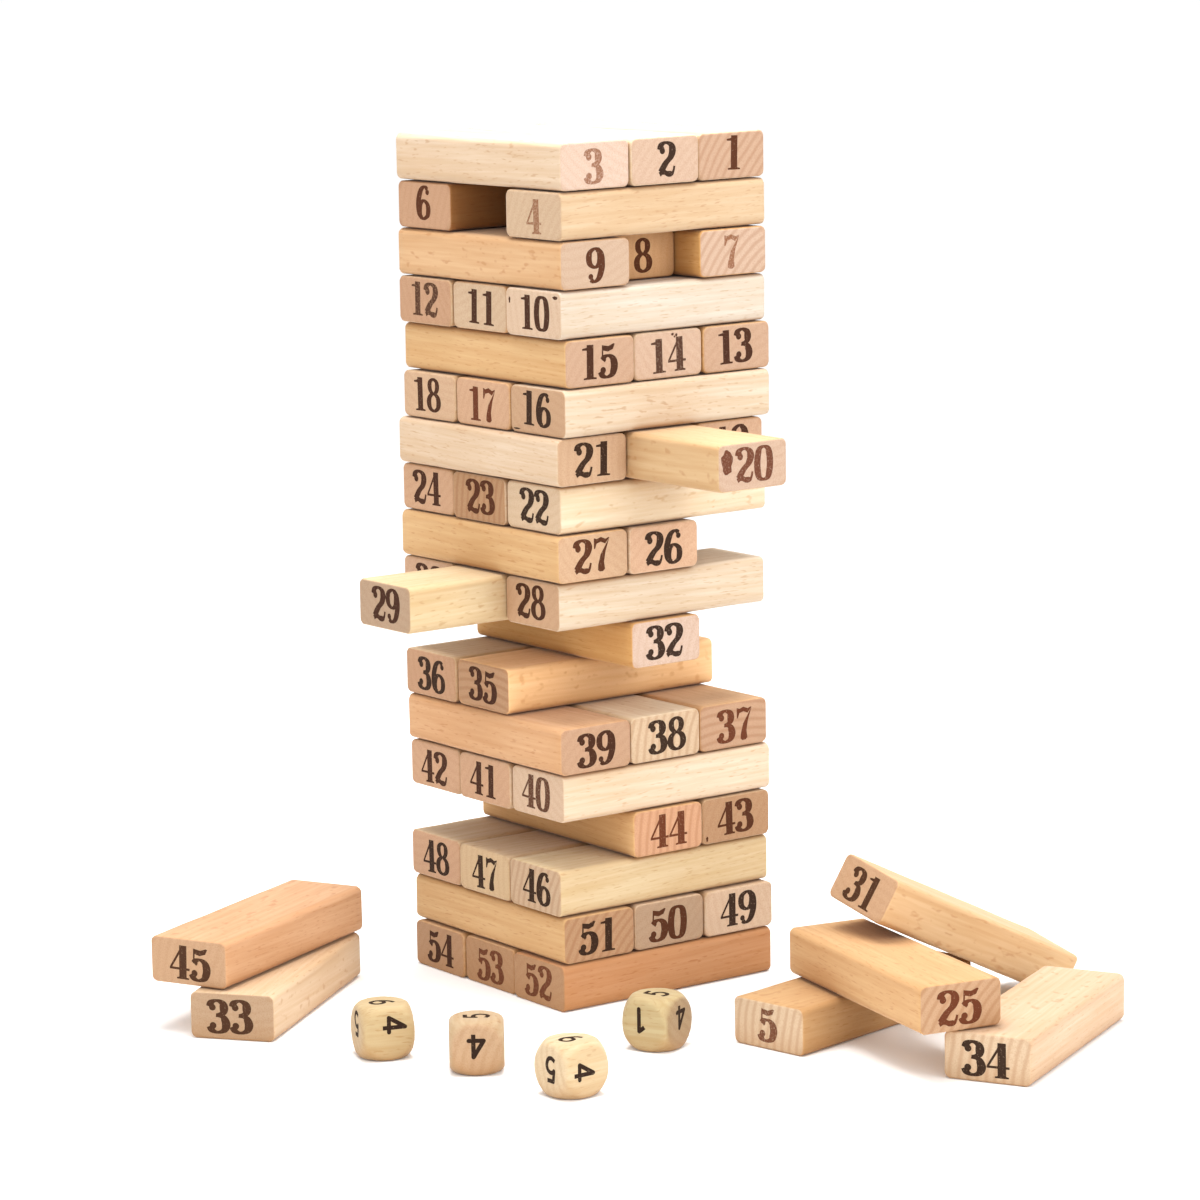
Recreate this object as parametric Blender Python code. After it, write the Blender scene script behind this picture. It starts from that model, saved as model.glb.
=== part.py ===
"""A tumbling tower of 54 numbered wooden blocks in mid-game, with four wooden dice.

Frame: metres, +Z up, origin on the table under the middle of the tower. The numbered ends of
the blocks look along -Y in one layer and along -X in the next. Every block is modelled from
its numbered end, so its own X axis runs from that end into the block.
"""
from math import radians, sin

import bmesh
import bpy
from mathutils import Euler, Matrix, Vector

BLOCK_LENGTH = 0.075
BLOCK_WIDTH = 0.0249
BLOCK_HEIGHT = 0.0134
LONG_EDGE_RADIUS = 0.002
END_CHAMFER = 0.0005
GAP = 0.0003

LAYERS = 18
BLOCKS_PER_LAYER = 3
ACROSS = BLOCK_WIDTH + GAP
STOREY = BLOCK_HEIGHT + GAP
TOWER_TWIST = radians(3.4)
UNEVEN = 0.0003

# How far a layer has crept sideways, by its number counted from the top.
LAYER_CREEP = {
    5: 0.0012, 6: -0.0012, 7: -0.0014, 8: 0.0009, 9: -0.0010, 10: 0.0012,
    12: 0.0008, 13: -0.0006, 16: 0.0010, 17: 0.0006, 18: -0.0007,
}
# How far a block has been pushed in (+) or pulled out (-) along its length.
PULLED = {8: 0.0105, 20: -0.0395, 29: -0.0335}

# Blocks taken out of the tower, by the bottom middle of the numbered end (x, y, z) and by
# yaw, pitch and roll in degrees. The storey is 0 on the table and 1 on another loose block.
FLAT_BLOCKS = {
    33: (-0.1260, 0.0013, 0, 36.4),
    45: (-0.1308, 0.0155, 1, 24.6),
    5: (-0.0198, -0.1042, 0, 9.6),
    34: (0.0030, -0.1676, 0, 26.1),
    25: (-0.0004, -0.1610, 1, 77.2),
}
LEANING_BLOCK = 31
LEANING_AT = (0.01137, -0.10403, 0.03441)
LEANING_TURN = (10.08, 25.74, -1.14)

DIE_SIZE = 0.015
DIE_BALL_RADIUS = 0.0100
DIE_SHARPNESS = 45
DIE_CUTS = 7
DICE = ((-0.1029, -0.0387, -20.2), (-0.0921, -0.0675, 53.9), (-0.0867, -0.1025, 0.0),
        (-0.0405, -0.0813, 21.9))

TONES = {
    "cream": (0.78, 0.62, 0.42),
    "pale": (0.84, 0.72, 0.54),
    "honey": (0.72, 0.48, 0.24),
    "tan": (0.62, 0.40, 0.21),
    "peach": (0.75, 0.52, 0.36),
    "copper": (0.56, 0.30, 0.14),
}
TONE_OF_BLOCKS = {
    "pale": (10, 16, 22, 28, 34, 46, 13, 48),
    "honey": (9, 20, 25, 27, 29, 51, 12, 31),
    "tan": (15, 19, 26, 32, 36, 44, 5, 50),
    "peach": (35, 39, 40, 33, 7, 14, 45),
    "copper": (52, 1, 53),
}


def clear_scene():
    for thing in list(bpy.data.objects):
        bpy.data.objects.remove(thing, do_unlink=True)


def block_mesh():
    """A plank with rounded long edges and its two sawn ends lightly chamfered."""
    bm = bmesh.new()
    bmesh.ops.create_cube(bm, size=1.0)
    bmesh.ops.scale(bm, vec=(BLOCK_LENGTH, BLOCK_WIDTH, BLOCK_HEIGHT), verts=bm.verts)
    bmesh.ops.translate(bm, vec=(BLOCK_LENGTH / 2, 0, BLOCK_HEIGHT / 2), verts=bm.verts)
    long_edges = [e for e in bm.edges if abs(e.verts[0].co.x - e.verts[1].co.x) > BLOCK_LENGTH / 2]
    bmesh.ops.bevel(bm, geom=long_edges, offset=LONG_EDGE_RADIUS, segments=3, profile=0.5,
                    affect='EDGES')
    end_edges = [e for e in bm.edges if abs(e.verts[0].co.x - e.verts[1].co.x) < GAP]
    bmesh.ops.bevel(bm, geom=end_edges, offset=END_CHAMFER, segments=1, affect='EDGES')
    mesh = bpy.data.meshes.new("block")
    bm.to_mesh(mesh)
    bm.free()
    mesh.shade_smooth()
    mesh.set_sharp_from_angle(angle=radians(35))
    return mesh


def die_mesh():
    """A cube cut down to a ball: along each ray the nearer of the two, softly blended."""
    bm = bmesh.new()
    bmesh.ops.create_cube(bm, size=DIE_SIZE)
    bmesh.ops.subdivide_edges(bm, edges=bm.edges, cuts=DIE_CUTS, use_grid_fill=True)
    for vert in bm.verts:
        beyond_ball = (vert.co.length / DIE_BALL_RADIUS) ** DIE_SHARPNESS
        vert.co *= (1 + beyond_ball) ** (-1 / DIE_SHARPNESS)
    bmesh.ops.translate(bm, vec=(0, 0, DIE_SIZE / 2), verts=bm.verts)
    mesh = bpy.data.meshes.new("die")
    bm.to_mesh(mesh)
    bm.free()
    mesh.shade_smooth()
    return mesh


def wood(name, colour):
    material = bpy.data.materials.new(name)
    material.use_nodes = True
    shader = material.node_tree.nodes["Principled BSDF"]
    shader.inputs["Base Color"].default_value = (*colour, 1.0)
    shader.inputs["Roughness"].default_value = 0.55
    shader.inputs["Metallic"].default_value = 0.0
    return material


def add_piece(name, mesh, colour, at, turn):
    """An object on the shared mesh, with a material of its own; turn is Euler XYZ in radians."""
    piece = bpy.data.objects.new(name, mesh)
    bpy.context.collection.objects.link(piece)
    piece.location = at
    piece.rotation_euler = turn
    piece.material_slots[0].link = 'OBJECT'
    piece.material_slots[0].material = wood(name, colour)
    return piece


def tone_of(number):
    for tone, numbers in TONE_OF_BLOCKS.items():
        if number in numbers:
            return TONES[tone]
    return TONES["cream"]


def add_block(number, mesh, at, turn):
    return add_piece(f"block_{number:02d}", mesh, tone_of(number), at, turn)


def add_tower(mesh, loose):
    """Layers from the top down; each is turned a little further than the one below it."""
    for layer in range(1, LAYERS + 1):
        ends_face_minus_y = layer % 2 == 1
        height = (LAYERS - layer) * STOREY
        twist = TOWER_TWIST * (0.5 - (layer - 1) / (LAYERS - 1))
        yaw = twist + (radians(90) if ends_face_minus_y else 0.0)
        creep = LAYER_CREEP.get(layer, 0.0) * (-1 if ends_face_minus_y else 1)
        for place in range(BLOCKS_PER_LAYER):
            number = BLOCKS_PER_LAYER * layer - place
            if number in loose:
                continue
            along = -BLOCK_LENGTH / 2 + PULLED.get(number, UNEVEN * sin(2.4 * number))
            across = (1 - place) * ACROSS + creep
            at = Matrix.Rotation(yaw, 3, 'Z') @ Vector((along, across, height))
            add_block(number, mesh, at, (0, 0, yaw))


def add_loose_blocks(mesh):
    for number, (x, y, storey, yaw) in FLAT_BLOCKS.items():
        add_block(number, mesh, (x, y, storey * STOREY), (0, 0, radians(yaw)))
    add_block(LEANING_BLOCK, mesh, LEANING_AT, Euler([radians(a) for a in LEANING_TURN], 'XYZ'))


def add_dice(mesh):
    for count, (x, y, yaw) in enumerate(DICE, start=1):
        add_piece(f"die_{count}", mesh, TONES["pale"], (x, y, 0), (0, 0, radians(yaw)))


clear_scene()
block = block_mesh()
block.materials.append(None)
add_tower(block, {*FLAT_BLOCKS, LEANING_BLOCK})
add_loose_blocks(block)
die = die_mesh()
die.materials.append(None)
add_dice(die)
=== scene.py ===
from math import atan2, cos, pi, radians, sin

import bmesh
import bpy
import numpy as np
from mathutils import Matrix, Vector, noise
from mathutils.geometry import delaunay_2d_cdt


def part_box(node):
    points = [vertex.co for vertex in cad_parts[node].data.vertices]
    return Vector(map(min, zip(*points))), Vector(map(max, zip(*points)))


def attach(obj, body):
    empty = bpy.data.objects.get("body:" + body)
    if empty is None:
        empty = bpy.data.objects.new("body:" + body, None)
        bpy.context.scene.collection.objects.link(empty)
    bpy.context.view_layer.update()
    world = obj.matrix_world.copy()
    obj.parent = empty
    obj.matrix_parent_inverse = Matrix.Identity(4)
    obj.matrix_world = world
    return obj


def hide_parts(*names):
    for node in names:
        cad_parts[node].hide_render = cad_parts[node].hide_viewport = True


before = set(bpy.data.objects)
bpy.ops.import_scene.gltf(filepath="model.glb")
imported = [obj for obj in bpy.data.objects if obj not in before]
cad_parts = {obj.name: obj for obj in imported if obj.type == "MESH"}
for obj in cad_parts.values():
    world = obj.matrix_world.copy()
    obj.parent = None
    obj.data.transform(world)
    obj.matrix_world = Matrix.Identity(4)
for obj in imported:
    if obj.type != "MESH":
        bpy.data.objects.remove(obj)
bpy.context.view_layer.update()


# ---- The printed numbers ----------------------------------------------------------------
# Each block's number is stamped on one end in a bold book face with fat uprights, thin curves
# and ball ends. A numeral is drawn 1 high as pen paths: the pen is broad where it goes up or
# down and thin where it goes across, which gives this kind of numeral its look.

NUMERAL_WIDTH = 0.66
NUMERAL_PITCH = 0.67
BROAD_PEN = 0.128
THIN_PEN = 0.042
PEN_SWELL = 1.6
BALL = 0.10


def smooth_path(points, closed=False, steps=7):
    """A Catmull-Rom curve through the points."""
    points = [Vector(p) for p in points]
    count = len(points)
    spans = count if closed else count - 1
    path = []
    for i in range(spans):
        if closed:
            a, b, c, d = (points[(i + k) % count] for k in (-1, 0, 1, 2))
        else:
            b, c = points[i], points[i + 1]
            a = points[i - 1] if i else b * 2 - c
            d = points[i + 2] if i + 2 < count else c * 2 - b
        for step in range(steps):
            t = step / steps
            path.append(0.5 * (2 * b + (c - a) * t + (2 * a - 5 * b + 4 * c - d) * t ** 2
                               + (3 * b - a - 3 * c + d) * t ** 3))
    if not closed:
        path.append(points[-1])
    return path


def pen_stroke(points, closed=False, broad=BROAD_PEN, thin=THIN_PEN):
    """The stroke that a broad pen leaves along a path: its outline, or two where it closes."""
    path = smooth_path(points, closed)
    count = len(path)
    left, right = [], []
    for i, point in enumerate(path):
        ahead = path[(i + 1) % count] if closed or i + 1 < count else point
        behind = path[i - 1] if closed or i else point
        along = (ahead - behind).normalized()
        half = thin + (broad - thin) * abs(along.y) ** PEN_SWELL
        across = Vector((-along.y, along.x)) * half
        left.append(point + across)
        right.append(point - across)
    if closed:
        return [[left, right]]
    return [[left + right[::-1]]]


def ball(x, y, radius=BALL, sides=14):
    angles = [2 * pi * k / sides for k in range(sides)]
    return [[[Vector((x + radius * cos(a), y + radius * sin(a))) for a in angles]]]


def ribbon(*points):
    return [[[Vector(p) for p in points]]]


def foot_serif(x, half=0.20):
    """A hairline foot under an upright stroke, with small brackets running up into it."""
    return ribbon((x - half, 0), (x + half, 0), (x + half, 0.045), (x + 0.13, 0.06), (x + 0.10, 0.11),
                  (x - 0.10, 0.11), (x - 0.13, 0.06), (x - half, 0.045))


def upright(x, top=1.0, bottom=0.0, half=0.12):
    return ribbon((x - half, bottom), (x + half, bottom), (x + half, top), (x - half, top))


def six():
    bowl = pen_stroke([(0.34, 0.03), (0.52, 0.12), (0.57, 0.30), (0.52, 0.47), (0.36, 0.56),
                       (0.22, 0.47), (0.17, 0.30), (0.20, 0.12)], closed=True, broad=0.103)
    back = pen_stroke([(0.53, 0.90), (0.40, 0.97), (0.24, 0.88), (0.14, 0.66), (0.11, 0.42),
                       (0.15, 0.18), (0.26, 0.05)], broad=0.112)
    return bowl + back + ball(0.52, 0.82, 0.085)


NUMERALS = {
    "0": pen_stroke([(0.33, 0.97), (0.50, 0.87), (0.56, 0.50), (0.50, 0.13), (0.33, 0.03),
                     (0.16, 0.13), (0.10, 0.50), (0.16, 0.87)], closed=True, broad=0.115),
    "1": upright(0.36) + foot_serif(0.36, 0.23)
    + ribbon((0.40, 1.0), (0.25, 0.93), (0.08, 0.90), (0.08, 0.85), (0.27, 0.84)),
    "2": pen_stroke([(0.09, 0.76), (0.14, 0.91), (0.30, 0.97), (0.47, 0.90), (0.53, 0.74),
                     (0.46, 0.55), (0.28, 0.37), (0.10, 0.12)]) + ball(0.16, 0.74)
    + pen_stroke([(0.06, 0.06), (0.20, 0.13), (0.36, 0.07), (0.51, 0.08), (0.57, 0.16), (0.60, 0.29)],
                 broad=0.035, thin=0.085),
    "3": pen_stroke([(0.09, 0.78), (0.15, 0.92), (0.30, 0.97), (0.45, 0.90), (0.50, 0.75),
                     (0.44, 0.60), (0.27, 0.53)]) + ball(0.16, 0.77)
    + pen_stroke([(0.25, 0.53), (0.45, 0.48), (0.54, 0.28), (0.47, 0.10), (0.30, 0.03),
                  (0.14, 0.08), (0.07, 0.22)]) + ball(0.15, 0.23),
    "4": upright(0.44) + foot_serif(0.44, 0.20)
    + ribbon((0.47, 1.0), (0.40, 1.0), (0.01, 0.33), (0.01, 0.27), (0.66, 0.27), (0.66, 0.34),
             (0.09, 0.34), (0.40, 0.86)),
    "5": ribbon((0.11, 0.96), (0.34, 0.92), (0.52, 0.99), (0.57, 0.97), (0.50, 0.82), (0.32, 0.76),
                (0.16, 0.80), (0.15, 0.52), (0.10, 0.52))
    + pen_stroke([(0.13, 0.52), (0.22, 0.62), (0.36, 0.64), (0.50, 0.54), (0.55, 0.33), (0.47, 0.11),
                  (0.30, 0.03), (0.15, 0.07), (0.07, 0.21)]) + ball(0.15, 0.23),
    "6": six(),
    "7": ribbon((0.05, 0.68), (0.09, 0.68), (0.15, 0.83), (0.30, 0.87), (0.45, 0.80), (0.60, 0.97),
                (0.57, 0.98), (0.46, 0.94), (0.30, 1.01), (0.15, 0.96), (0.09, 0.99), (0.05, 0.99))
    + ribbon((0.60, 0.97), (0.50, 0.82), (0.28, 0.50), (0.19, 0.20), (0.18, 0.05), (0.24, 0.0),
             (0.36, 0.0), (0.43, 0.06), (0.40, 0.28), (0.46, 0.58)),
    "8": pen_stroke([(0.33, 0.97), (0.47, 0.90), (0.51, 0.76), (0.46, 0.62), (0.33, 0.54),
                     (0.20, 0.62), (0.15, 0.76), (0.19, 0.90)], closed=True, broad=0.098)
    + pen_stroke([(0.33, 0.54), (0.50, 0.45), (0.56, 0.28), (0.50, 0.11), (0.33, 0.03),
                  (0.16, 0.11), (0.10, 0.28), (0.16, 0.45)], closed=True, broad=0.108),
    "9": [[[Vector((NUMERAL_WIDTH, 1.0)) - p for p in outline] for outline in stroke] for stroke in six()],
}


def inside(outline, x, y):
    """True where an outline winds round the point x, y."""
    turns = np.zeros(len(x), int)
    for (ax, ay), (bx, by) in zip(outline, outline[1:] + outline[:1]):
        side = (bx - ax) * (y - ay) - (x - ax) * (by - ay)
        turns += (ay <= y) & (by > y) & (side > 0)
        turns -= (ay > y) & (by <= y) & (side < 0)
    return turns != 0


def printed(strokes, x, y):
    """True where any stroke inks the point; a closed stroke is open in its middle."""
    inked = np.zeros(len(x), bool)
    for stroke in strokes:
        held = np.zeros(len(x), bool)
        for outline in stroke:
            held ^= inside(outline, x, y)
        inked |= held
    return inked


def number_print(text, height, centre, numerals=NUMERALS, turn=0.0, widen=1.0):
    """The strokes of a number, in millimetres about centre and turned anticlockwise."""
    strokes = []
    middle = (NUMERAL_PITCH * (len(text) - 1) + NUMERAL_WIDTH) / 2
    for place, digit in enumerate(text):
        for stroke in numerals[digit]:
            moved = []
            for outline in stroke:
                line = []
                for x, y in outline:
                    u = (x + NUMERAL_PITCH * place - middle) * height * widen
                    v = (y - 0.5) * height
                    line.append((centre[0] + u * cos(turn) - v * sin(turn),
                                 centre[1] + u * sin(turn) + v * cos(turn)))
                moved.append(line)
            strokes.append(moved)
    return strokes


INSIDE_ONLY = 1
SAME_POINT = 1e-4


def printed_face(border, strokes, extra=()):
    """Triangles that fill a border, split along every printed line; True marks the inked ones."""
    points = [Vector(p) for p in border]
    edges = [(i, (i + 1) % len(border)) for i in range(len(border))]
    for stroke in strokes:
        for outline in stroke:
            first = len(points)
            points += [Vector(p) for p in outline]
            edges += [(first + i, first + (i + 1) % len(outline)) for i in range(len(outline))]
    points += [Vector(p) for p in extra]
    found, _, faces, origins, _, _ = delaunay_2d_cdt(
        points, edges, [list(range(len(border)))], INSIDE_ONLY, SAME_POINT)
    rim = {}
    for index, sources in enumerate(origins):
        for source in sources:
            if source < len(border):
                rim[source] = index
    middles = np.array([np.mean([found[i] for i in face], axis=0) for face in faces])
    return found, faces, printed(strokes, middles[:, 0], middles[:, 1]), rim


# ---- The blocks -------------------------------------------------------------------------
# Each block is sawn from beech, its long edges run over a rounding cutter and its two ends
# cross-cut and tumbled, so the ends keep a small soft edge. All sizes are in millimetres.

MM = 0.001
BLOCK_LENGTH = 75.0
BLOCK_WIDTH = 24.9
BLOCK_HEIGHT = 13.4
LONG_ROUND = 1.9
LEAST_ROUND = 0.5
END_ROUND = 0.6
EDGE_WEAR = 0.14
WEAR_BIAS = 0.4
WEAR_PATCH = 14.0
WEAR_ROUND = 3
WEAR_APART = 5
EDGE_STEPS = 6
SOFT_BAND = 1.3
SPANS = 24
PRINT_DEPTH = 0.06


def block_ring(inset, x, seed):
    """One section through a block as (right, up, rounded) points, seen from its numbered end.

    Each long edge is worn down by a noise of its own, and the rounded mark fades to nothing
    over a narrow band of the flats beside the edge.
    """
    half_wide, half_high = BLOCK_WIDTH / 2 - inset, BLOCK_HEIGHT / 2 - inset
    radius = max(LONG_ROUND - inset, LEAST_ROUND)
    points = []
    for corner, (side, rise) in enumerate(((1, 1), (-1, 1), (-1, -1), (1, -1))):
        angles = [(corner + step / EDGE_STEPS) * pi / 2 for step in range(EDGE_STEPS + 1)]
        arc = []
        for angle in angles:
            where = Vector((x / WEAR_PATCH, WEAR_ROUND * cos(angle) + WEAR_APART * side,
                            seed + WEAR_ROUND * sin(angle) + WEAR_APART * rise))
            reach = radius - EDGE_WEAR * max(0.0, WEAR_BIAS + noise.noise(where))
            arc.append((side * (half_wide - radius) + reach * cos(angle),
                        rise * (half_high - radius) + reach * sin(angle), 1.0))
        before = (arc[0][0] + SOFT_BAND * sin(angles[0]), arc[0][1] - SOFT_BAND * cos(angles[0]), 0.0)
        after = (arc[-1][0] - SOFT_BAND * sin(angles[-1]), arc[-1][1] + SOFT_BAND * cos(angles[-1]), 0.0)
        points += [before, *arc, after]
    return points


def block_mesh(name, strokes, seed):
    """A closed block with its number let into the near end, in metres from that end's foot."""
    bends = [radians(angle) for angle in (0, 30, 60, 90)]
    near_end = [(END_ROUND * (1 - cos(bend)), END_ROUND * (1 - sin(bend))) for bend in bends]
    middle = [(END_ROUND + (BLOCK_LENGTH - 2 * END_ROUND) * k / SPANS, 0.0) for k in range(1, SPANS)]
    far_end = [(BLOCK_LENGTH - x, inset) for x, inset in reversed(near_end)]
    bm = bmesh.new()
    ink = bm.faces.layers.float.new("ink")
    edge = bm.verts.layers.float.new("edge")

    def vert(x, right, up, rounded=0.0):
        made = bm.verts.new((x * MM, -right * MM, (up + BLOCK_HEIGHT / 2) * MM))
        made[edge] = rounded
        return made

    rings = []
    for x, inset in near_end + middle + far_end:
        outline = block_ring(inset, x, seed)
        rings.append(([point[:2] for point in outline], [vert(x, *point) for point in outline]))
    for (_, near), (_, after) in zip(rings, rings[1:]):
        for k in range(len(near)):
            j = (k + 1) % len(near)
            face = bm.faces.new((near[k], near[j], after[j], after[k]))
            face.smooth = True
    pressed = []
    for x, (outline, ring), marks in ((0.0, rings[0], strokes), (BLOCK_LENGTH, rings[-1], [])):
        found, faces, inked, rim = printed_face(outline, marks)
        verts = {index: ring[source] for source, index in rim.items()}
        for index, point in enumerate(found):
            if index not in verts:
                verts[index] = vert(x, *point)
        for face, is_inked in zip(faces, inked):
            made = bm.faces.new([verts[i] for i in face])
            made[ink] = float(is_inked)
            if is_inked:
                pressed.append(made)
    if pressed:
        sunk = bmesh.ops.extrude_face_region(bm, geom=pressed)["geom"]
        bmesh.ops.delete(bm, geom=[f for f in pressed if f.is_valid], context="FACES_ONLY")
        down = [v for v in sunk if isinstance(v, bmesh.types.BMVert)]
        bmesh.ops.translate(bm, verts=down, vec=(PRINT_DEPTH * MM, 0, 0))
        for v in down:
            for face in v.link_faces:
                face[ink] = 1.0
    bmesh.ops.recalc_face_normals(bm, faces=bm.faces)
    mesh = bpy.data.meshes.new(name)
    bm.to_mesh(mesh)
    bm.free()
    return mesh


# Every numbered end looks somewhere between -X and -Y, so this runs into every block.
INTO_BLOCKS = Vector((0.6, 0.8, 0))


def block_stance(node):
    """How a block lies: its own X runs in from the numbered end, its Z is up."""
    points = np.array([v.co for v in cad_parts[node].data.vertices])
    middle = Vector((points.min(0) + points.max(0)) / 2)
    _, axes = np.linalg.eigh(np.cov(points.T))
    inward, up = Vector(axes[:, 2]), Vector(axes[:, 0])
    if inward.dot(INTO_BLOCKS) < 0:
        inward.negate()
    if up.z < 0:
        up.negate()
    left = up.cross(inward)
    turn = Matrix((inward, left, up)).transposed()
    foot = middle - inward * BLOCK_LENGTH / 2 * MM - up * BLOCK_HEIGHT / 2 * MM
    return Matrix.Translation(foot) @ turn.to_4x4()


# Beech, planed and sanded but not varnished: a close pale wood with faint growth rings, long
# soft streaks and short brown dashes where the rays are cut across. It has no gloss, only the
# pale bloom of raised fibres when it is seen along its surface. Painted shade darkens it where
# little light gets in, in the grooves, slots and under overhangs, and its rounded edges are
# darker from handling wear and from painted shade in the grooves. The numbers are a dark
# stamping ink that sinks in and dries uneven, and it hides the bloom.

BEECH_ROUGHNESS = 0.7
BEECH_IOR = 1.5
BEECH_GLOSS = 0.12
FIBRE_BLOOM = 0.16
FIBRE_ROUGHNESS = 0.45
FIBRE_RELIEF = 0.05
RING_WIDTH = 2.6
# The wave node runs through this many radians in one unit.
WAVE_RADIANS = 20
SEED_STEP = 0.37
BOARD_TILT = 1.5
BOARD_SWING = 2.0
# Painted shade: the brown laid on the wood where ambient occlusion within the reach below (mm) finds it
# closed in.
PAINTED_SHADE_BROWN = "#9c6a36"
PAINTED_SHADE_REACH = 12
INK_BLOTCH = (0.6, 0.6, 0.6)
# Each pattern's size in millimetres along, across and up the board, its detail and roughness.
FIGURE = {
    "streak": ((40.0, 1.1, 1.6), 3.0, 0.6),
    "patch": ((45, 14, 14), 1.0, 0.5),
    "dash": ((3.2, 0.42, 2.0), 1.0, 0.4),
    "pore": ((0.9, 0.35, 0.35), 2.0, 0.5),
}
# What is left of red, green and blue where the wood is darker.
DEEPER = (0.80, 0.66, 0.50)
DASHED = (0.66, 0.46, 0.30)
RINGED = (0.70, 0.55, 0.45)
# On the rounded edges: handling wear, and painted shade in the grooves between blocks.
RUBBED_AND_GROOVE_SHADE = (0.62, 0.46, 0.32)


def linear(hex_colour, kept=(1.0, 1.0, 1.0)):
    """An sRGB hex colour as a linear one, with what is kept of its red, green and blue."""
    channels = [int(hex_colour[i:i + 2], 16) / 255 for i in (1, 3, 5)]
    bright = [c / 12.92 if c <= 0.04045 else ((c + 0.055) / 1.055) ** 2.4 for c in channels]
    return [c * k for c, k in zip(bright, kept)] + [1.0]


def add(tree, kind, links=None, **settings):
    """A node with its settings; links maps an input to a value or to another node's output."""
    made = tree.nodes.new(kind)
    for name, value in settings.items():
        setattr(made, name, value)
    for socket, value in (links or {}).items():
        if isinstance(value, bpy.types.NodeSocket):
            tree.links.new(value, made.inputs[socket])
        else:
            made.inputs[socket].default_value = value
    return made


def laid_over(tree, ground, *layers):
    """Ground with colours laid over it, each as (mask, mask's range, amounts at its ends, colour).

    Inputs 6 and 7 of a colour mix are its two colours, and its output 2 is the mixed colour.
    """
    for mask, (low, high), (at_low, at_high), colour in layers:
        amount = add(tree, "ShaderNodeMapRange", {
            "Value": mask, "From Min": low, "From Max": high, "To Min": at_low, "To Max": at_high})
        ground = add(tree, "ShaderNodeMix", {"Factor": amount.outputs[0], 6: ground, 7: colour},
                     data_type="RGBA").outputs[2]
    return ground


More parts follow.
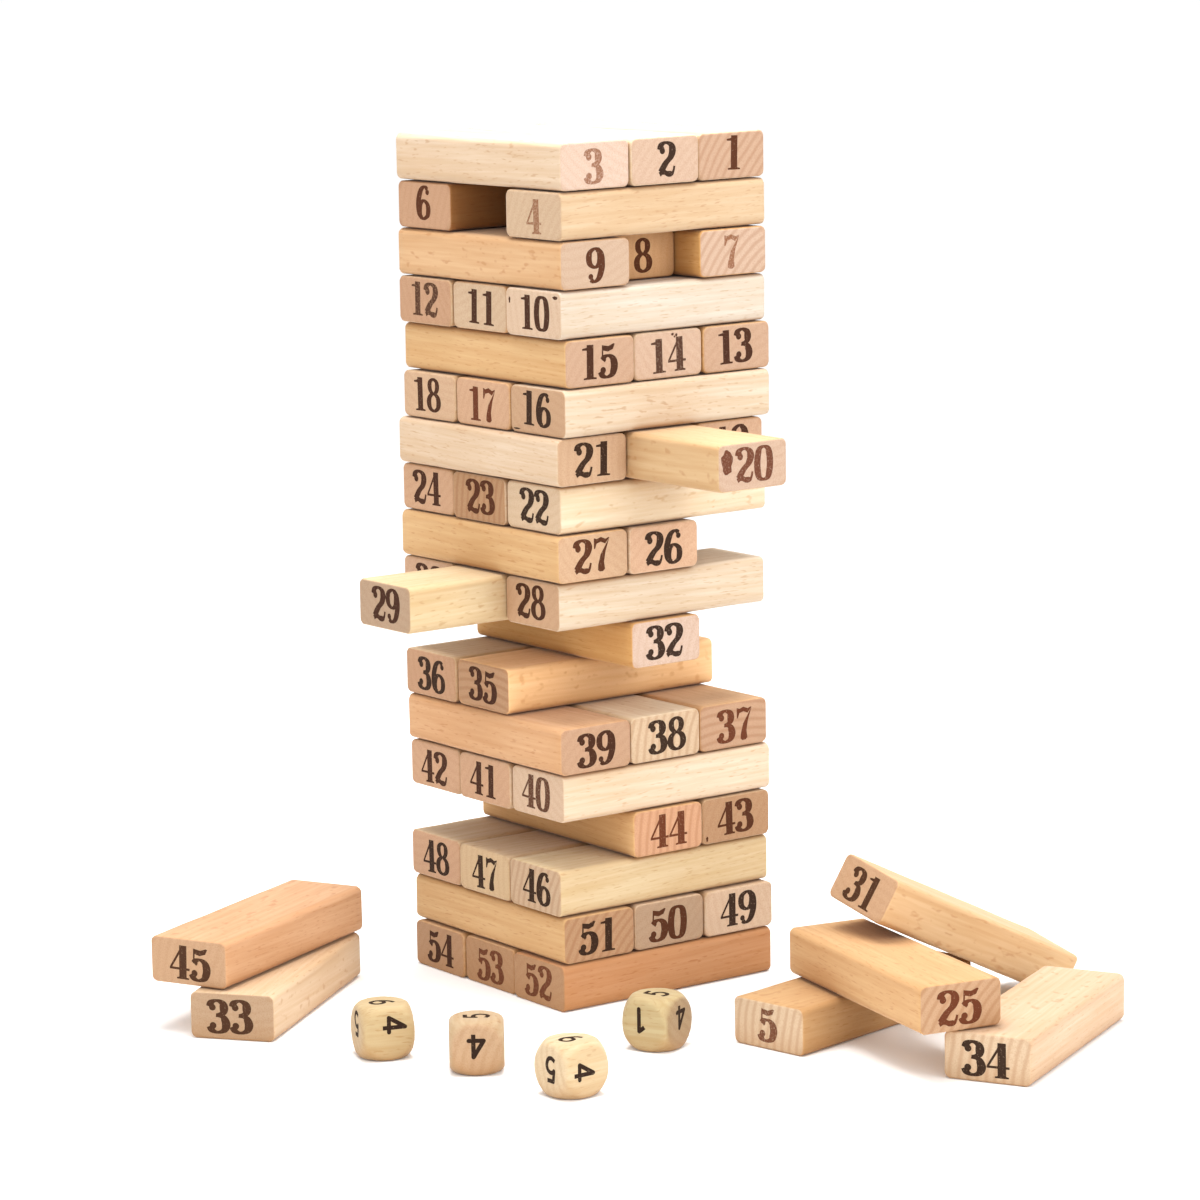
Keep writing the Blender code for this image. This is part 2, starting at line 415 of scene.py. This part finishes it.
def beech(name, side, end, ink, wear, ring_turn, pith, seed, rings):
    """Beech with its own face and end-grain colour; wear is how much of the ink has gone.

    The rings run round a pith that lies so many millimetres from the board, and no board is
    sawn quite along its grain.
    """
    material = bpy.data.materials.new(name)
    material.use_nodes = True
    tree = material.node_tree
    shader = tree.nodes["Principled BSDF"]
    shader.inputs["Roughness"].default_value = BEECH_ROUGHNESS
    shader.inputs["IOR"].default_value = BEECH_IOR
    shader.inputs["Specular IOR Level"].default_value = BEECH_GLOSS
    shader.inputs["Sheen Roughness"].default_value = FIBRE_ROUGHNESS
    place = add(tree, "ShaderNodeTexCoord")
    board = add(tree, "ShaderNodeMapping", {
        "Vector": place.outputs["Object"],
        "Location": (SEED_STEP * seed, 0.0, pith * MM),
        "Rotation": (ring_turn, radians(BOARD_TILT * sin(seed)),
                     radians(BOARD_SWING * cos(3 * seed)))}).outputs[0]
    growth = add(tree, "ShaderNodeTexWave", {
        "Vector": board, "Scale": 2 * pi / (WAVE_RADIANS * RING_WIDTH * MM), "Distortion": 2.2,
        "Detail": 2.0, "Detail Scale": 0.6, "Detail Roughness": 0.55},
        wave_type="RINGS", rings_direction="X").outputs[1]
    figure = {}
    for pattern, (size, detail, roughness) in FIGURE.items():
        scaled = add(tree, "ShaderNodeVectorMath", {0: board, 1: [1 / MM / length for length in size]},
                     operation="MULTIPLY").outputs[0]
        figure[pattern] = add(tree, "ShaderNodeTexNoise", {
            "Vector": scaled, "Scale": 1.0, "Detail": detail, "Roughness": roughness}).outputs[0]
    dashes = add(tree, "ShaderNodeMapRange", {
        "Value": figure["dash"], "From Min": 0.62, "From Max": 0.74}).outputs[0]

    deeper = linear(side, DEEPER)
    ringed = linear(end, RINGED)
    long_grain = laid_over(
        tree, linear(side),
        (figure["streak"], (0.35, 0.72), (0.0, 0.6), deeper),
        (figure["patch"], (0.4, 0.75), (0.0, 0.4), deeper),
        (growth, (0.55, 1.0), (0.0, 0.22), deeper),
        (dashes, (0.0, 1.0), (0.0, 0.5), linear(side, DASHED)))
    end_grain = laid_over(
        tree, linear(end),
        (growth, (0.35, 1.0), (0.0, rings), ringed),
        (figure["pore"], (0.42, 0.75), (0.0, 0.45), ringed))
    along = add(tree, "ShaderNodeSeparateXYZ", {0: place.outputs["Normal"]}).outputs[0]
    facing_along = add(tree, "ShaderNodeMath", {0: along}, operation="ABSOLUTE").outputs[0]
    rounded = add(tree, "ShaderNodeAttribute", attribute_name="edge").outputs["Fac"]
    # Painted shade: ambient occlusion darkens the wood in grooves, slots and under overhangs.
    openness = add(tree, "ShaderNodeAmbientOcclusion", {"Distance": PAINTED_SHADE_REACH * MM},
                   samples=6).outputs["AO"]
    wood = laid_over(
        tree, long_grain,
        (facing_along, (0.55, 0.9), (0.0, 1.0), end_grain),
        # Rounded edges darker: handling wear, and painted shade in the grooves between blocks.
        (rounded, (0.0, 1.0), (0.0, 0.15), linear(side, RUBBED_AND_GROOVE_SHADE)),
        # Painted shade where the wood is closed in.
        (openness, (0.25, 0.85), (0.55, 0.0), linear(PAINTED_SHADE_BROWN)))

    stamped = add(tree, "ShaderNodeAttribute", attribute_name="ink").outputs["Fac"]
    blotch_at = add(tree, "ShaderNodeVectorMath", {
        0: place.outputs["Object"], 1: [1 / MM / length for length in INK_BLOTCH]},
        operation="MULTIPLY").outputs[0]
    blotch = add(tree, "ShaderNodeTexNoise", {
        "Vector": blotch_at, "Scale": 1.0, "Detail": 3.0, "Roughness": 0.65}).outputs[0]
    taken = add(tree, "ShaderNodeMapRange", {
        "Value": blotch, "From Min": 0.26 + 0.2 * wear, "From Max": 0.38 + 0.25 * wear,
        "To Min": 0.66 - 0.3 * wear, "To Max": 1.0 - 0.2 * wear}).outputs[0]
    cover = add(tree, "ShaderNodeMath", {0: stamped, 1: taken}, operation="MULTIPLY").outputs[0]
    coloured = add(tree, "ShaderNodeMix", {"Factor": cover, 6: wood, 7: linear(ink)},
                   data_type="RGBA").outputs[2]
    bloom = add(tree, "ShaderNodeMapRange", {
        "Value": cover, "To Min": FIBRE_BLOOM, "To Max": 0.0}).outputs[0]
    relief = add(tree, "ShaderNodeMath", {0: figure["streak"], 1: dashes}, operation="SUBTRACT").outputs[0]
    bump = add(tree, "ShaderNodeBump", {
        "Strength": 0.25, "Distance": FIBRE_RELIEF * MM, "Height": relief}).outputs[0]
    tree.links.new(coloured, shader.inputs["Base Color"])
    tree.links.new(bloom, shader.inputs["Sheen Weight"])
    tree.links.new(bump, shader.inputs["Normal"])
    return material


# Colours by the numbers of the blocks that have them; the other blocks have the usual one.
USUAL_FACE = "#d0b18d"
FACE_TONES = {
    "#dbcab0": (2, 14, 22, 30, 38),
    "#c8b092": (4, 12, 18, 24, 36, 42, 43, 47, 48),
    "#cfb9a0": (1, 3, 21, 23, 26, 41, 49, 50),
    "#cba67e": (9, 11, 17, 19, 37, 53, 54),
    "#cca87a": (13, 15, 27, 51),
    "#cfbfaa": (16, 28),
    "#d1bd99": (29, 46),
    # Block 6's face is darkened as painted shade for the slot wall it forms.
    "#bf9a6d": (5,), "#8f633a": (6,), "#c99c62": (7,), "#a57446": (8,), "#cdc3b6": (10,),
    "#caac84": (20,), "#c9a274": (25,), "#d2b28a": (31,), "#cfa369": (32,), "#cfb799": (33,),
    # Block 35's face is lightened as painted light, against the shade that the block above casts on its
    # side.
    "#cfb498": (34,), "#efc797": (35,), "#cca27a": (39,), "#dccab3": (40,), "#d8b07e": (44,),
    "#cba17c": (45,), "#bb8a62": (52,),
}
USUAL_END = "#bc997d"
END_TONES = {
    "#c6ad9b": (3, 32), "#bca08a": (2, 7, 14, 20), "#b4947b": (1, 13, 15), "#be9d7e": (18, 27),
    "#bc9677": (17, 24, 41, 42, 48), "#b18a6b": (6, 12, 36), "#bba083": (4, 11, 46),
    "#c4a98f": (10, 40, 49), "#ab8665": (35, 43, 51, 54), "#b39070": (16, 25, 28, 31, 45),
    "#a7815e": (23, 52, 53), "#a88d73": (29, 50), "#c5ac8f": (5, 22, 34, 38), "#b49175": (37, 39),
    "#c9a178": (8,), "#b79d86": (9,), "#b8987a": (21,), "#c7a386": (26,), "#a88c70": (33,),
    "#c79a79": (44,), "#c3a884": (47,),
}
USUAL_INK = "#3a1c0c"
INK_TONES = {
    "#2b180c": (2, 16, 21, 22, 26, 32, 34, 36, 38, 46, 47, 48, 49, 51),
    "#4a240f": (1, 6, 8, 9, 23, 27, 40, 43, 50),
    "#5c2c16": (5, 17, 20, 25, 37, 52, 53),
    "#3f2413": (31, 33, 45),
    "#7c4c30": (3, 4, 7),
    "#5c2b14": (44,),
}
# How much of its ink a number has lost.
USUAL_GONE = 0.1
INK_GONE = {3: 0.6, 4: 0.65, 5: 0.4, 7: 0.55, 12: 0.4, 14: 0.3, 20: 0.3, 37: 0.15, 40: 0.3, 44: 0.2,
            52: 0.3, 53: 0.3}
# Ends that show the growth rings as bold stripes, with the stripes' turn in degrees.
STRIPED_ENDS = {1: 60, 5: 90, 7: 50, 23: 90, 25: 60, 34: 90, 35: 0, 37: 0, 38: 85, 44: 90, 46: 80,
                51: 60}
STRIPED_RINGS = 0.5
FAINT_RINGS = 0.14
BLOCK_PITH = 45.0

BLOCK_COUNT = 54
NUMBER_HEIGHT = 9.7
NUMBER_WIDEN = 1.04
NUMBER_TILT = 1.5
# A stamped number drifts by up to this off the middle of its end, as (right, up), except where
# it was stamped farther off.
DRIFT = (0.6, 0.3)
OFF_MIDDLE = {
    1: (0.6, 0.7), 3: (-0.4, -0.3), 4: (0.2, -0.4), 6: (-0.4, 0.8), 8: (0.6, 0.0), 12: (-0.3, 0.5),
    13: (-0.9, 0.4), 15: (-0.5, 0.2), 16: (-0.8, 0.6), 18: (-1.2, 0.3), 20: (0.5, 0.4),
    22: (0.4, 0.4), 23: (0.9, 0.5), 27: (-0.3, 0.4), 28: (-0.7, 0.5), 29: (0.8, 0.5),
    40: (-1.0, 0.3),
}
# Where ink or dirt got on an end by accident, as (right, up, half width, half height).
SMUDGES = {
    10: ((9.9, 5.0, 1.1, 0.5), (-10.6, 3.2, 0.4, 0.9)),
    14: ((1.6, 5.6, 0.5, 0.4), (3.0, 5.3, 0.4, 0.5), (2.3, 4.9, 0.3, 0.3)),
    16: ((-9.6, -5.6, 1.5, 0.25),),
    20: ((-9.3, 1.7, 2.0, 3.5),),
    43: ((-10.8, -5.0, 0.4, 0.8),),
}


def tone(table, number, usual):
    return next((colour for colour, numbers in table.items() if number in numbers), usual)


def smudge(right, up, half_wide, half_high, sides=16):
    """A ragged oval patch as one stroke."""
    outline = []
    for k in range(sides):
        angle = 2 * pi * k / sides
        outline.append((right + half_wide * (1 + 0.2 * sin(5 * angle)) * cos(angle),
                        up + half_high * (1 + 0.15 * cos(7 * angle)) * sin(angle)))
    return [outline]


# The sines of its number give every stamp a drift and a tilt of its own, and the rings of the
# plain ends run every way.
for number in range(1, BLOCK_COUNT + 1):
    node = f"block_{number:02d}"
    drift = (DRIFT[0] * sin(7.0 * number), DRIFT[1] * sin(4.0 * number))
    strokes = number_print(str(number), NUMBER_HEIGHT, OFF_MIDDLE.get(number, drift),
                           turn=radians(NUMBER_TILT * sin(5.0 * number)), widen=NUMBER_WIDEN)
    strokes += [smudge(*patch) for patch in SMUDGES.get(number, ())]
    block = bpy.data.objects.new(f"beech_{node}", block_mesh(f"beech_{node}", strokes, 10.0 * number))
    bpy.context.scene.collection.objects.link(block)
    block.matrix_world = block_stance(node)
    ring_turn = radians(STRIPED_ENDS.get(number, 40 + 97 * number % 180))
    block.data.materials.append(beech(
        f"beech_{number:02d}", tone(FACE_TONES, number, USUAL_FACE), tone(END_TONES, number, USUAL_END),
        tone(INK_TONES, number, USUAL_INK), INK_GONE.get(number, USUAL_GONE), ring_turn, BLOCK_PITH,
        number, STRIPED_RINGS if number in STRIPED_ENDS else FAINT_RINGS))
    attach(block, node)
    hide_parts(node)


# ---- The dice ---------------------------------------------------------------------------
# Four dice of the same beech: a cube with its edges and corners turned down to a ball, and
# plain thin numerals stamped on its faces. Opposite faces add up to seven.

DIE_SIZE = 15.0
DIE_BALL = 10.0
DIE_SOFTNESS = 45
DIE_CELLS = 12
DIE_WELD = 0.002
DIE_BELT = 3.0
DIE_NUMBER = 7.0
DIE_PEN = 0.085


def plain_line(*points):
    """A pen line of even width through the points, straight from one to the next."""
    strokes = []
    for start, end in zip(points, points[1:]):
        strokes += pen_stroke([start, end], broad=DIE_PEN, thin=DIE_PEN) + ball(*end, radius=DIE_PEN)
    return strokes


def plain_curve(*points):
    return pen_stroke(points, broad=DIE_PEN, thin=DIE_PEN)


DIE_NUMERALS = {
    "1": plain_line((0.16, 0.76), (0.40, 0.95), (0.40, 0.05)),
    "2": plain_curve((0.09, 0.72), (0.16, 0.90), (0.34, 0.95), (0.53, 0.86), (0.54, 0.66), (0.36, 0.40),
                     (0.10, 0.06)) + plain_line((0.08, 0.06), (0.60, 0.06)),
    "3": plain_curve((0.10, 0.82), (0.22, 0.94), (0.42, 0.93), (0.53, 0.79), (0.46, 0.60), (0.28, 0.53))
    + plain_curve((0.28, 0.53), (0.50, 0.47), (0.57, 0.28), (0.46, 0.09), (0.25, 0.05), (0.08, 0.17)),
    "4": plain_line((0.46, 0.05), (0.46, 0.95), (0.06, 0.30), (0.64, 0.30)),
    "5": plain_line((0.55, 0.94), (0.18, 0.94), (0.13, 0.52))
    + plain_curve((0.13, 0.54), (0.30, 0.62), (0.50, 0.54), (0.57, 0.33), (0.47, 0.11), (0.28, 0.05),
                  (0.08, 0.14)),
    "6": plain_curve((0.50, 0.93), (0.28, 0.80), (0.13, 0.52), (0.10, 0.30), (0.20, 0.09), (0.35, 0.05),
                     (0.52, 0.14), (0.57, 0.32), (0.48, 0.52), (0.30, 0.56), (0.14, 0.44)),
}


def die_point(direction):
    """Where a ray from the middle leaves the cube that is turned down to a ball."""
    out = direction.normalized()
    cube = DIE_SIZE / 2 / max(abs(c) for c in out)
    reach = (cube ** -DIE_SOFTNESS + DIE_BALL ** -DIE_SOFTNESS) ** (-1 / DIE_SOFTNESS)
    return out * reach


def die_mesh(name, faces, quarter):
    """One closed skin from six printed faces; quarter turns the wood's grain from X to Y."""
    half = DIE_SIZE / 2
    steps = [half * (2 * k / DIE_CELLS - 1) for k in range(DIE_CELLS + 1)]
    border = [(u, -half) for u in steps[:-1]] + [(half, v) for v in steps[:-1]]
    border += [(-u, half) for u in steps[:-1]] + [(-half, -v) for v in steps[:-1]]
    inner = [(u, v) for u in steps[1:-1] for v in steps[1:-1]]
    grain = Matrix.Rotation(-pi / 2 * quarter, 3, "Z")
    bm = bmesh.new()
    ink = bm.faces.layers.float.new("ink")
    for digit, out, up, centre in faces:
        right = up.cross(out)
        strokes = number_print(digit, DIE_NUMBER, centre, numerals=DIE_NUMERALS)
        found, triangles, inked, _ = printed_face(border, strokes, inner)
        rays = [out * half + right * p[0] + up * p[1] for p in found]
        verts = [bm.verts.new(grain @ die_point(ray) * MM) for ray in rays]
        for triangle, is_inked in zip(triangles, inked):
            face = bm.faces.new([verts[i] for i in triangle])
            face[ink] = float(is_inked)
            face.smooth = True
    bmesh.ops.remove_doubles(bm, verts=bm.verts, dist=DIE_WELD * MM)
    bmesh.ops.recalc_face_normals(bm, faces=bm.faces)
    mesh = bpy.data.meshes.new(name)
    bm.to_mesh(mesh)
    bm.free()
    return mesh


def die_stance(node):
    """A die stands flat; its upright edges are where it reaches farthest at half its height.

    The slack keeps a die that is hardly turned from coming out a quarter turn round.
    """
    slack = 0.1
    low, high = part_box(node)
    middle = (low + high) / 2
    points = [v.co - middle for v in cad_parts[node].data.vertices]
    edge = max((p for p in points if abs(p.z) < DIE_BELT * MM), key=lambda p: p.xy.length)
    yaw = (atan2(edge.y, edge.x) - pi / 4 + slack) % (pi / 2) - slack
    return Matrix.Translation(middle) @ Matrix.Rotation(yaw, 4, "Z")


X, Y, Z = Vector((1, 0, 0)), Vector((0, 1, 0)), Vector((0, 0, 1))
MIDDLE = (0, 0)
# Each face of a die: its number, which way it looks, which way up the number is, and where
# its middle is on the face as (right, up) of the number.
DICE = {
    1: (("4", -X, -Y, (-3.0, 1.2)), ("3", X, Y, MIDDLE), ("5", Y, -Z, (-0.7, -2.3)),
        ("2", -Y, Z, MIDDLE), ("6", Z, -Y, MIDDLE), ("1", -Z, X, MIDDLE)),
    2: (("4", -X, -Z, (0, -1.2)), ("3", X, Z, MIDDLE), ("1", Y, Z, MIDDLE),
        ("6", -Y, Z, MIDDLE), ("5", Z, Y, MIDDLE), ("2", -Z, X, MIDDLE)),
    3: (("4", -Y, X, (-0.4, -1.6)), ("3", Y, Z, MIDDLE), ("5", -X, -Z, (-0.8, -0.5)),
        ("2", X, Z, MIDDLE), ("6", Z, X, MIDDLE), ("1", -Z, X, MIDDLE)),
    4: (("1", -X, -Z, (1.0, -1.5)), ("6", X, Z, MIDDLE), ("4", -Y, -Z, (0, -2.0)),
        ("3", Y, Z, MIDDLE), ("5", Z, Y, MIDDLE), ("2", -Z, X, MIDDLE)),
}
DICE_ALONG_Y = (1, 4)
DIE_TONES = {1: ("#bba781", "#b49c77"), 2: ("#b39c7d", "#b39474"), 3: ("#cab796", "#c7b190"),
             4: ("#b5a47d", "#9a8262")}
DIE_INK = "#2a1a10"
DIE_PITH = 30.0
DIE_RINGS = 0.25
DIE_SEED = 60

for count, faces in DICE.items():
    node = f"die_{count}"
    quarter = 1 if count in DICE_ALONG_Y else 0
    die = bpy.data.objects.new(f"wooden_die_{count}", die_mesh(f"wooden_die_{count}", faces, quarter))
    bpy.context.scene.collection.objects.link(die)
    die.matrix_world = die_stance(node) @ Matrix.Rotation(pi / 2 * quarter, 4, "Z")
    side, end = DIE_TONES[count]
    die.data.materials.append(beech(f"die_wood_{count}", side, end, DIE_INK, 0.0, radians(35 * count),
                                    DIE_PITH, DIE_SEED + count, DIE_RINGS))
    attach(die, node)
    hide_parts(node)


# ---- The studio -------------------------------------------------------------------------
# A sheet of matt white paper that runs out of sight, and a white surround that is bright in
# front and dim behind, so that the slots stay dark, but that looks evenly white itself. A soft
# lamp overhead whitens the upper faces, and a large one in front lights the near corner.

PAPER_REACH = 15
PAPER_WHITE = "#fdfdfd"
PAPER_ROUGHNESS = 0.9

corners = [(x * PAPER_REACH, y * PAPER_REACH, 0) for x, y in ((-1, -1), (1, -1), (1, 1), (-1, 1))]
floor_mesh = bpy.data.meshes.new("table_top")
floor_mesh.from_pydata(corners, [], [(0, 1, 2, 3)])
floor = bpy.data.objects.new("table_top", floor_mesh)
bpy.context.scene.collection.objects.link(floor)
white = bpy.data.materials.new("white_paper")
white.use_nodes = True
white.node_tree.nodes["Principled BSDF"].inputs["Base Color"].default_value = linear(PAPER_WHITE)
white.node_tree.nodes["Principled BSDF"].inputs["Roughness"].default_value = PAPER_ROUGHNESS
floor_mesh.materials.append(white)

TOWARDS_FRONT = (-0.58, -0.72, 0.38)
SKY_FRONT = 1.5
SKY_BACK = 0.32
SKY_SEEN = 1.3

world = bpy.data.worlds.new("studio")
bpy.context.scene.world = world
world.use_nodes = True
sky = world.node_tree
sky.nodes["Background"].inputs["Color"].default_value = (1.0, 1.0, 1.0, 1.0)
direction = add(sky, "ShaderNodeTexCoord").outputs["Generated"]
frontness = add(sky, "ShaderNodeVectorMath", {0: direction, 1: TOWARDS_FRONT},
                operation="DOT_PRODUCT").outputs["Value"]
lit = add(sky, "ShaderNodeMapRange", {
    "Value": frontness, "From Min": -0.7, "From Max": 0.8,
    "To Min": SKY_BACK, "To Max": SKY_FRONT}).outputs[0]
seen = add(sky, "ShaderNodeLightPath").outputs["Is Camera Ray"]
strength = add(sky, "ShaderNodeMix", {"Factor": seen, "A": lit, "B": SKY_SEEN}).outputs[0]
sky.links.new(strength, sky.nodes["Background"].inputs["Strength"])


def soft_lamp(name, at, towards, size, power):
    data = bpy.data.lights.new(name, "AREA")
    data.shape = "SQUARE"
    data.size = size
    data.energy = power
    lamp = bpy.data.objects.new(name, data)
    lamp.location = at
    lamp.rotation_euler = (Vector(towards) - Vector(at)).to_track_quat("-Z", "Y").to_euler()
    bpy.context.scene.collection.objects.link(lamp)


soft_lamp("overhead", at=(0.0, 0.0, 0.62), towards=(0, 0, 0), size=0.35, power=4.5)
soft_lamp("key", at=(0.5, -1.6, 1.0), towards=(0, 0, 0.1), size=0.9, power=10)

LENS = 131.75
SENSOR_WIDTH = 36.0
CAMERA_AT = (-0.7717, -0.9991, 0.3259)
CAMERA_TURN = radians(-37.86)
CAMERA_TILT = radians(80.29)
CAMERA_ROLL = radians(-0.86)

camera_data = bpy.data.cameras.new("camera")
camera_data.lens = LENS
camera_data.sensor_width = SENSOR_WIDTH
camera = bpy.data.objects.new("camera", camera_data)
camera.matrix_world = (Matrix.Translation(CAMERA_AT) @ Matrix.Rotation(CAMERA_TURN, 4, "Z")
                       @ Matrix.Rotation(CAMERA_TILT, 4, "X") @ Matrix.Rotation(CAMERA_ROLL, 4, "Z"))
bpy.context.scene.collection.objects.link(camera)
bpy.context.scene.camera = camera
bpy.context.scene.view_settings.view_transform = "Standard"
